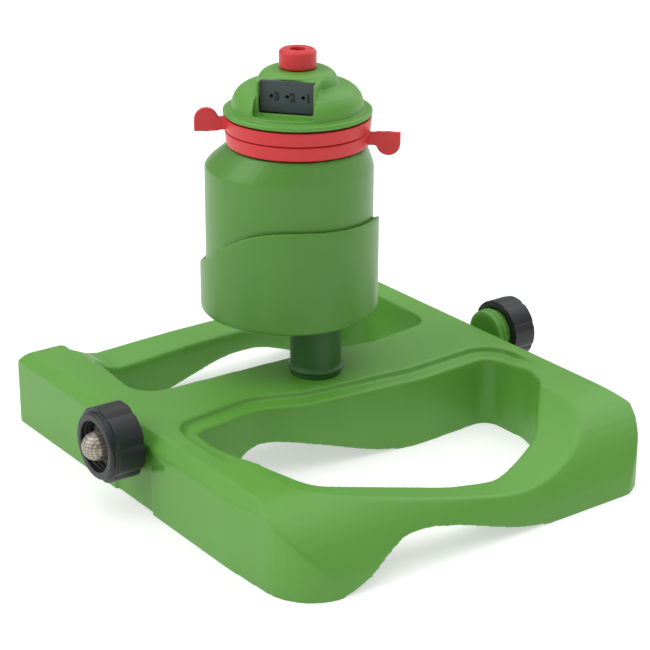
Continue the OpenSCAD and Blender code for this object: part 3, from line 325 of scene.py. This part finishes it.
def softened(name, node, grid_mm, passes, zones=()):
    """A CAD node's shape with the edge radii of a moulding: rebuilt on a fine grid, then relaxed.
    Each zone is (low corner, high corner, passes) in millimetres, and is relaxed further."""
    piece = merged_copy(name, node)
    remesh = piece.modifiers.new("grid", "REMESH")
    remesh.mode = "VOXEL"
    remesh.voxel_size = grid_mm * MM
    remesh.use_smooth_shade = True
    baked(piece)
    before = coordinates(piece.data)
    add_relax(piece, "relax", passes)
    for number, (low, high, more) in enumerate(zones):
        # the zone fades in, so that it leaves no edge
        depth = np.minimum(before / MM - np.array(low), np.array(high) - before / MM).min(axis=1)
        weight = np.clip(depth / ZONE_FADE_MM, 0.0, 1.0)
        group = piece.vertex_groups.new(name=f"zone {number}")
        for step in range(1, ZONE_STEPS + 1):
            inside = np.nonzero((weight > (step - 1) / ZONE_STEPS) & (weight <= step / ZONE_STEPS))[0]
            group.add(inside.tolist(), step / ZONE_STEPS, "REPLACE")
        add_relax(piece, f"zone {number}", more, group.name)
    baked(piece)
    piece.vertex_groups.clear()
    # what stood on the ground still does
    after = coordinates(piece.data)
    after[before[:, 2] < GROUND_MM * MM, 2] = before[:, 2].min()
    piece.data.vertices.foreach_set("co", after.ravel())
    triangles = len(piece.data.loops) - 2 * len(piece.data.polygons)
    if triangles > MOST_TRIANGLES:
        thin = piece.modifiers.new("thin", "DECIMATE")
        thin.ratio = MOST_TRIANGLES / triangles
        baked(piece)
    piece.data.shade_smooth()
    return piece


def replace_node(piece, node, slot=None):
    """Lets a piece stand for a CAD node, with the node's finish unless another is given."""
    set_finish(piece, slot or slot_of(node))
    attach(piece, body_of(node))
    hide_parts(node)
    return piece


def soft_nodes(table):
    """Softened pieces for (node, grid in mm, passes) rows."""
    return [replace_node(softened(node + "_skin", node, grid_mm, passes), node)
            for node, grid_mm, passes in table]


def new_tree(name, inputs):
    """An empty Geometry Nodes tree with named inputs, given as (name, socket type, default)."""
    tree = bpy.data.node_groups.new(name, "GeometryNodeTree")
    tree.interface.new_socket("Geometry", in_out="INPUT", socket_type="NodeSocketGeometry")
    for label, kind, default in inputs:
        socket = tree.interface.new_socket(label, in_out="INPUT", socket_type=kind)
        if default is not None:
            socket.default_value = default
    tree.interface.new_socket("Geometry", in_out="OUTPUT", socket_type="NodeSocketGeometry")
    return tree, tree.nodes.new("NodeGroupInput").outputs


def close_tree(tree, geometry, material):
    """Ends a tree in plain mesh with its material."""
    real = add_node(tree, "GeometryNodeRealizeInstances", {"Geometry": geometry})
    coated = add_node(tree, "GeometryNodeSetMaterial", {"Geometry": real.outputs[0], "Material": material})
    add_node(tree, "NodeGroupOutput", {"Geometry": coated.outputs[0]})


def grown(name, mesh, tree, values):
    """A piece made by a tree. values are its inputs by name, set by identifier before the first evaluation."""
    piece = link(name, mesh)
    modifier = piece.modifiers.new("grow", "NODES")
    modifier.node_group = tree
    for item in tree.interface.items_tree:
        if item.in_out == "INPUT" and item.name in values:
            modifier[item.identifier] = values[item.name]
    return baked(piece)


def thread_tree(material):
    """A helical ridge round +Z, then turned and moved to its place."""
    tree, given = new_tree("Thread ridge", (
        ("Radius", "NodeSocketFloat", 13.5 * MM), ("Pitch", "NodeSocketFloat", 2.21 * MM),
        ("Turns", "NodeSocketFloat", 3.0), ("Ridge", "NodeSocketFloat", 0.5 * MM),
        ("Place", "NodeSocketVector", None), ("Turn", "NodeSocketVector", None)))
    rise = add_node(tree, "ShaderNodeMath", {0: given["Pitch"], 1: given["Turns"]}, operation="MULTIPLY")
    helix = add_node(tree, "GeometryNodeCurveSpiral", {
        "Resolution": 96, "Rotations": given["Turns"], "Start Radius": given["Radius"],
        "End Radius": given["Radius"], "Height": rise.outputs[0]})
    section = add_node(tree, "GeometryNodeCurvePrimitiveCircle", {"Resolution": 8, "Radius": given["Ridge"]})
    ridge = add_node(tree, "GeometryNodeCurveToMesh", {
        "Curve": helix.outputs[0], "Profile Curve": section.outputs[0], "Fill Caps": True})
    smooth = add_node(tree, "GeometryNodeSetShadeSmooth", {"Geometry": ridge.outputs[0]})
    placed = add_node(tree, "GeometryNodeTransform", {
        "Geometry": smooth.outputs[0], "Translation": given["Place"], "Rotation": given["Turn"]})
    close_tree(tree, placed.outputs[0], material)
    return tree


def screw_tree(material):
    """One screw on every vertex of a piece."""
    tree, given = new_tree("Screw set", (("Screw", "NodeSocketObject", None),))
    one = add_node(tree, "GeometryNodeObjectInfo", {"Object": given["Screw"], "As Instance": True})
    points = add_node(tree, "GeometryNodeInstanceOnPoints", {
        "Points": given["Geometry"], "Instance": one.outputs["Geometry"]})
    close_tree(tree, points.outputs[0], material)
    return tree


def islands(node):
    """The separate solids of a CAD node, each as an array of its corners."""
    piece = merged_copy("loose", node)
    mesh = piece.data
    spots = coordinates(mesh)
    # every corner takes the lowest number found among its neighbours, until nothing changes
    leader = np.arange(len(spots))
    edges = np.array([edge.vertices[:] for edge in mesh.edges])
    while True:
        low = np.minimum(leader[edges[:, 0]], leader[edges[:, 1]])
        new = leader.copy()
        np.minimum.at(new, edges[:, 0], low)
        np.minimum.at(new, edges[:, 1], low)
        new = new[new]
        if (new == leader).all():
            break
        leader = new
    bpy.data.objects.remove(piece)
    bpy.data.meshes.remove(mesh)
    return [spots[leader == root] for root in np.unique(leader)]


def screw_line(head_r, head_t, shank_r, length, pitch):
    """Outline of a screw from the crown of its head to its tip, as radius against distance from the crown."""
    root_r = shank_r * 0.82
    crown = [(head_r * math.sin(a), head_t * 0.55 * (1 - math.cos(a))) for a in np.linspace(0.3, 1.571, 6)]
    line = [(0.0, 0.0), *crown, (head_r, head_t * 0.9), (head_r * 0.97, head_t), (shank_r, head_t)]
    for i in range(int((length - 1.2 * MM) / pitch)):
        start = head_t + 0.4 * MM + i * pitch
        line += [(root_r, start), (shank_r, start + pitch * 0.5)]
    return line + [(shank_r * 0.8, head_t + length - 0.6 * MM), (0.0, head_t + length)]


def screw_mesh(name, corners):
    """A pan head screw with a cross recess and rolled threads, as long and as wide as the CAD screw
    with these corners. It is centred on its axis with its crown at the origin; also gives the crown's height."""
    centre = (corners.min(axis=0) + corners.max(axis=0)) / 2
    radius = np.hypot(*(corners - centre)[:, :2].T)
    low, high = corners[:, 2].min(), corners[:, 2].max()
    head_r = radius.max()
    in_head = corners[radius > head_r * 0.97, 2]
    down = in_head.mean() < (low + high) / 2
    head_t = in_head.max() - in_head.min()
    shank_r = radius[np.abs(corners[:, 2] - (high if down else low)) < 0.01 * MM].max()
    line = screw_line(head_r, head_t, shank_r, high - low - head_t, SCREW_PITCH)
    sign = 1 if down else -1
    vertices, faces = [], []
    for r, d in line:
        for k in range(SCREW_SIDES):
            a = 2 * math.pi * k / SCREW_SIDES
            # the cross recess sinks the middle of the head along two lines
            cross = abs(math.sin(2 * a)) < 0.5 and d < head_t * 0.4 and r < head_r * 0.62
            vertices.append((r * math.cos(a), r * math.sin(a), sign * (d + (head_t * 0.5 if cross else 0.0))))
    for i in range(len(line) - 1):
        for k in range(SCREW_SIDES):
            a, b = i * SCREW_SIDES + k, i * SCREW_SIDES + (k + 1) % SCREW_SIDES
            face = (a, b, b + SCREW_SIDES, a + SCREW_SIDES)
            faces.append(face if down else face[::-1])
    mesh = bpy.data.meshes.new(name)
    mesh.from_pydata(vertices, [], faces)
    mesh.validate()
    shape = link(name, mesh)
    weld = shape.modifiers.new("weld", "WELD")
    weld.merge_threshold = 1.5 * WELD_MM * MM
    return baked(shape), low if down else high


# ---------------------------------------------------------------- properties

def colour_property(name, hex_colour, use):
    return FloatVectorProperty(name=name, description="Colour of " + use, subtype="COLOR", default=linear(hex_colour))


def angle_property(name, degrees, use):
    return FloatProperty(name=name, description=use, subtype="ANGLE", default=math.radians(degrees))


class SprinklerColours(bpy.types.PropertyGroup):
    green: colour_property("Green", "589436", "the sled, the housing, the water pipe and the head")
    dark_green: colour_property("Dark green", "2A5A26", "the riser")
    red: colour_property("Red", "C92A2E", "the arc rings and the knob")
    black: colour_property("Black", "1B1F21", "the coupling and the cap")
    grey: colour_property("Grey", "343F40", "the nozzle plate")


class SprinklerSizes(bpy.types.PropertyGroup):
    sled_grid: FloatProperty(name="Sled grid", description="Mesh size of the sled in millimetres",
                             default=0.8, min=0.6, max=4.0)
    thread_pitch: FloatProperty(name="Thread pitch", description="Pitch of the hose thread",
                                default=2.21 * MM, unit="LENGTH")
    window_turn: angle_property("Window turn", -50, "Direction that the nozzle window faces, from the front")
    digit_height: FloatProperty(name="Digit height", description="Height of the nozzle numbers",
                                default=4.0 * MM, unit="LENGTH")
    camera_bearing: angle_property("Camera bearing", 36.54, "Direction the camera looks in, seen from above")
    camera_dip: angle_property("Camera dip", 21.875, "How far the camera looks down")
    camera_roll: angle_property("Camera roll", 0.375, "Tilt of the camera about its own axis")
    camera_distance: FloatProperty(name="Camera distance", description="Distance from the camera to its target",
                                   unit="LENGTH", default=1.0179)
    camera_lens: FloatProperty(name="Camera lens", description="Focal length on a 36 mm sensor",
                               subtype="DISTANCE_CAMERA", default=105.6)


# ---------------------------------------------------------------- operators

class SPRINKLER_OT_sled(bpy.types.Operator):
    """Makes the sled base"""
    bl_idname = "sprinkler.sled"
    bl_label = "Sled base"

    def execute(self, context):
        grid_mm = context.scene.sprinkler_sizes.sled_grid
        replace_node(softened("sled", "sled_base", grid_mm, 9, SLED_ZONES), "sled_base")
        return {"FINISHED"}


class SPRINKLER_OT_water_way(bpy.types.Operator):
    """Makes the riser, the pipe and its two ends"""
    bl_idname = "sprinkler.water_way"
    bl_label = "Water way"

    def execute(self, context):
        soft_nodes([("riser_post", 0.7, 2)])
        # the threaded neck outside the wall is as green as the sled
        replace_node(softened("water_way_pipe", "water_pipe", 0.9, 2), "water_pipe", "green_moulding")
        return {"FINISHED"}


class SPRINKLER_OT_housing(bpy.types.Operator):
    """Makes the boot and the shell of the gear housing"""
    bl_idname = "sprinkler.housing"
    bl_label = "Gear housing"

    def execute(self, context):
        for piece in soft_nodes([("housing_boot", 0.85, 3), ("housing_shell", 1.0, 3)]):
            # painted shade: the sled's green darkened to 0.8, standing in for the shade that the housing's upright
            # wall lies in
            piece.data.materials[0] = finish("housing")
        return {"FINISHED"}


class SPRINKLER_OT_rings(bpy.types.Operator):
    """Makes the two arc rings with their tabs"""
    bl_idname = "sprinkler.rings"
    bl_label = "Arc rings"

    def execute(self, context):
        soft_nodes([("trip_ring_upper", 0.5, 2), ("trip_ring_lower", 0.5, 2)])
        return {"FINISHED"}


class SPRINKLER_OT_head(bpy.types.Operator):
    """Makes the dome of the head"""
    bl_idname = "sprinkler.head"
    bl_label = "Head"

    def execute(self, context):
        soft_nodes([("head_dome", 0.55, 3)])
        return {"FINISHED"}


class SPRINKLER_OT_knob(bpy.types.Operator):
    """Makes the nozzle selector's knob"""
    bl_idname = "sprinkler.knob"
    bl_label = "Knob"

    def execute(self, context):
        soft_nodes([("knob", 0.3, 3)])
        return {"FINISHED"}


class SPRINKLER_OT_hose_ends(bpy.types.Operator):
    """Makes the inlet coupling and the end cap"""
    bl_idname = "sprinkler.hose_ends"
    bl_label = "Coupling and cap"

    def execute(self, context):
        soft_nodes([("inlet_coupling", 0.4, 2), ("end_cap", 0.4, 2)])
        return {"FINISHED"}


class SPRINKLER_OT_inlet_thread(bpy.types.Operator):
    """Makes the hose thread inside the inlet coupling"""
    bl_idname = "sprinkler.inlet_thread"
    bl_label = "Inlet thread"

    def execute(self, context):
        pitch = context.scene.sprinkler_sizes.thread_pitch
        low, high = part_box("inlet_coupling")
        washer_low, washer_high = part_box("inlet_washer")
        bore = (washer_high[2] - washer_low[2]) / 2 + 0.2 * MM
        margin = 1.6 * MM  # from the washer to the thread, and from the thread to the mouth
        start = washer_low[0] - margin
        tree = thread_tree(finish("black_moulding"))
        piece = grown("inlet_thread", bpy.data.meshes.new("inlet_thread"), tree, {
            "Radius": bore, "Pitch": pitch, "Turns": (start - low[0] - margin) / pitch, "Ridge": 0.55 * MM,
            "Place": (start, (low[1] + high[1]) / 2, (low[2] + high[2]) / 2), "Turn": (0.0, -math.pi / 2, 0.0)})
        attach(piece, "coupling")
        return {"FINISHED"}


class SPRINKLER_OT_screws(bpy.types.Operator):
    """Drives the screws of the saddles, the housing, the gearbox and the head"""
    bl_idname = "sprinkler.screws"
    bl_label = "Screws"

    def execute(self, context):
        tree = screw_tree(finish("stainless_steel"))
        for node in SCREW_NODES:
            found = islands(node)
            shape, crown = screw_mesh(node + "_shape", found[0])
            centres = [(corners.min(axis=0) + corners.max(axis=0)) / 2 for corners in found]
            mesh = bpy.data.meshes.new(node + "_set")
            mesh.from_pydata([(c[0], c[1], crown) for c in centres], [], [])
            piece = grown(node + "_set", mesh, tree, {"Screw": shape})
            bpy.data.objects.remove(shape)
            piece.data.shade_smooth()
            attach(piece, body_of(node))
            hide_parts(node)
        return {"FINISHED"}


class SPRINKLER_OT_numbers(bpy.types.Operator):
    """Sets a number beside each nozzle"""
    bl_idname = "sprinkler.numbers"
    bl_label = "Nozzle numbers"

    def execute(self, context):
        turn = context.scene.sprinkler_sizes.window_turn
        height = context.scene.sprinkler_sizes.digit_height
        outwards = Vector((math.sin(turn), -math.cos(turn), 0))
        right = Vector((math.cos(turn), math.sin(turn), 0))
        spots = coordinates(NODES["nozzle_plate"].data)
        face = (spots @ np.array(outwards)).max()
        across = spots @ np.array(right)
        middle, half = (across.max() + across.min()) / 2, (across.max() - across.min()) / 2
        low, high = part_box("nozzle_plate")
        level = (low[2] + high[2]) / 2
        upright = Matrix((right, Vector((0, 0, 1)), outwards)).transposed().to_4x4()
        for count, digit in enumerate("321"):
            # each number stands to the right of its nozzle
            aside = middle + (count - 1) * half * 0.58 + half * 0.19
            spot = right * aside + outwards * (face + 0.1 * MM) + Vector((0, 0, level))
            mesh = self.digit_mesh(context, digit, height)
            mesh.transform(Matrix.Translation(spot) @ upright)
            piece = link("number_" + digit, mesh)
            set_finish(piece, "seal_rubber")
            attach(piece, body_of("nozzle_plate"))
        return {"FINISHED"}

    def digit_mesh(self, context, digit, height):
        """A raised, bold digit that faces +Z."""
        text = bpy.data.curves.new("number_" + digit, "FONT")
        text.body = digit
        text.size = height * 1.5
        text.extrude = 0.12 * MM
        text.offset = 0.22 * MM
        text.align_x = "CENTER"
        text.align_y = "CENTER"
        holder = bpy.data.objects.new("number_" + digit, text)
        context.scene.collection.objects.link(holder)
        graph = context.evaluated_depsgraph_get()
        mesh = bpy.data.meshes.new_from_object(holder.evaluated_get(graph))
        bpy.data.objects.remove(holder)
        return mesh


class SPRINKLER_OT_inner_works(bpy.types.Operator):
    """Gives every CAD piece that stays its own finish"""
    bl_idname = "sprinkler.inner_works"
    bl_label = "Inner works"

    def execute(self, context):
        for node, piece in NODES.items():
            material = finish(slot_of(node))
            if piece.material_slots:
                for holder in piece.material_slots:
                    holder.material = material
            else:
                piece.data.materials.append(material)
        return {"FINISHED"}


class SPRINKLER_OT_stage(bpy.types.Operator):
    """Lays the floor, sets the lights and places the camera"""
    bl_idname = "sprinkler.stage"
    bl_label = "Floor, light and camera"

    def execute(self, context):
        self.add_floor(context)
        self.add_sky(context)
        for name, towards, strength, spread_degrees in SOFTBOXES:
            self.add_softbox(context, name, towards, strength, spread_degrees)
        self.add_camera(context, context.scene.sprinkler_sizes)
        context.scene.view_settings.view_transform = "Standard"
        return {"FINISHED"}

    def add_floor(self, context):
        """White paper lit from below, so that the floor stays pale under a soft shadow."""
        bpy.ops.mesh.primitive_plane_add(size=40, location=(0, 0, 0))
        floor = context.active_object
        floor.name = "floor"
        material, tree = new_material("pale lit paper")
        place = add_node(tree, "ShaderNodeTexCoord").outputs["Object"]
        # fibres in patches about 60 mm across
        tone = ramp(tree, noise(tree, place, 60, Detail=2.0), [(0.3, linear("C4C4C3")), (0.7, linear("C8C8C8"))])
        close_material(tree, add_node(tree, "ShaderNodeBsdfPrincipled", {
            "Base Color": tone, "Roughness": 0.95, "Specular IOR Level": 0.05,
            "Emission Color": (1, 1, 1, 1), "Emission Strength": 0.52}))
        floor.data.materials.append(material)

    def add_sky(self, context):
        """A white backdrop that lights the scene from the top and little from the horizon."""
        world = bpy.data.worlds.new("soft sky")
        context.scene.world = world
        world.use_nodes = True
        sky = world.node_tree
        sky.nodes.clear()
        direction = add_node(sky, "ShaderNodeTexCoord").outputs["Generated"]
        up = add_node(sky, "ShaderNodeSeparateXYZ", {"Vector": direction}).outputs["Z"]
        seen = add_node(sky, "ShaderNodeLightPath").outputs["Is Camera Ray"]
        level = add_node(sky, "ShaderNodeMix", {
            "Factor": seen, "A": spread(sky, up, SKY_HORIZON, SKY_TOP), "B": 1.0}, data_type="FLOAT")
        dome = add_node(sky, "ShaderNodeBackground", {"Color": (1, 1, 1, 1), "Strength": level.outputs["Result"]})
        add_node(sky, "ShaderNodeOutputWorld", {"Surface": dome.outputs[0]})

    def add_softbox(self, context, name, towards, strength, spread_degrees):
        """A far, broad light. towards points from the object to the light."""
        lamp = bpy.data.lights.new(name, "SUN")
        lamp.energy = strength
        lamp.angle = math.radians(spread_degrees)
        holder = bpy.data.objects.new(name, lamp)
        holder.rotation_euler = Vector(towards).to_track_quat("Z", "Y").to_euler()
        context.scene.collection.objects.link(holder)

    def add_camera(self, context, sizes):
        bearing, dip, roll = sizes.camera_bearing, sizes.camera_dip, sizes.camera_roll
        ahead = Vector((math.sin(bearing) * math.cos(dip), math.cos(bearing) * math.cos(dip), -math.sin(dip)))
        # level and above are across and up before the roll
        level = Vector((math.cos(bearing), -math.sin(bearing), 0))
        above = level.cross(ahead)
        right = level * math.cos(roll) + above * math.sin(roll)
        up = above * math.cos(roll) - level * math.sin(roll)
        camera = bpy.data.cameras.new("camera")
        camera.lens = sizes.camera_lens
        camera.sensor_width = 36
        camera.clip_start = 0.05
        camera.clip_end = 20
        holder = bpy.data.objects.new("camera", camera)
        target = Vector(CAMERA_TARGET_MM) * MM
        turn = Matrix((right, up, -ahead)).transposed().to_4x4()
        holder.matrix_world = Matrix.Translation(target - ahead * sizes.camera_distance) @ turn
        context.scene.collection.objects.link(holder)
        context.scene.camera = holder


class SPRINKLER_PT_panel(bpy.types.Panel):
    """Lists the sprinkler's pieces"""
    bl_idname = "SPRINKLER_PT_panel"
    bl_label = "Sprinkler"
    bl_space_type = "VIEW_3D"
    bl_region_type = "UI"
    bl_category = "Sprinkler"

    def draw(self, context):
        for group in (context.scene.sprinkler_colours, context.scene.sprinkler_sizes):
            for name in group.bl_rna.properties.keys():
                if name not in ("rna_type", "name"):
                    self.layout.prop(group, name)
        for operator in OPERATORS:
            self.layout.operator(operator.bl_idname)


OPERATORS = (
    SPRINKLER_OT_inner_works,
    SPRINKLER_OT_sled,
    SPRINKLER_OT_water_way,
    SPRINKLER_OT_housing,
    SPRINKLER_OT_rings,
    SPRINKLER_OT_head,
    SPRINKLER_OT_knob,
    SPRINKLER_OT_hose_ends,
    SPRINKLER_OT_inlet_thread,
    SPRINKLER_OT_screws,
    SPRINKLER_OT_numbers,
    SPRINKLER_OT_stage,
)
CLASSES = (SprinklerColours, SprinklerSizes, *OPERATORS, SPRINKLER_PT_panel)


def register():
    for one in CLASSES:
        bpy.utils.register_class(one)
    bpy.types.Scene.sprinkler_colours = PointerProperty(type=SprinklerColours)
    bpy.types.Scene.sprinkler_sizes = PointerProperty(type=SprinklerSizes)


def unregister():
    del bpy.types.Scene.sprinkler_sizes
    del bpy.types.Scene.sprinkler_colours
    for one in reversed(CLASSES):
        bpy.utils.unregister_class(one)


def main():
    register()
    for operator in OPERATORS:
        group, name = operator.bl_idname.split(".")
        getattr(getattr(bpy.ops, group), name)()


if __name__ == "__main__":
    main()
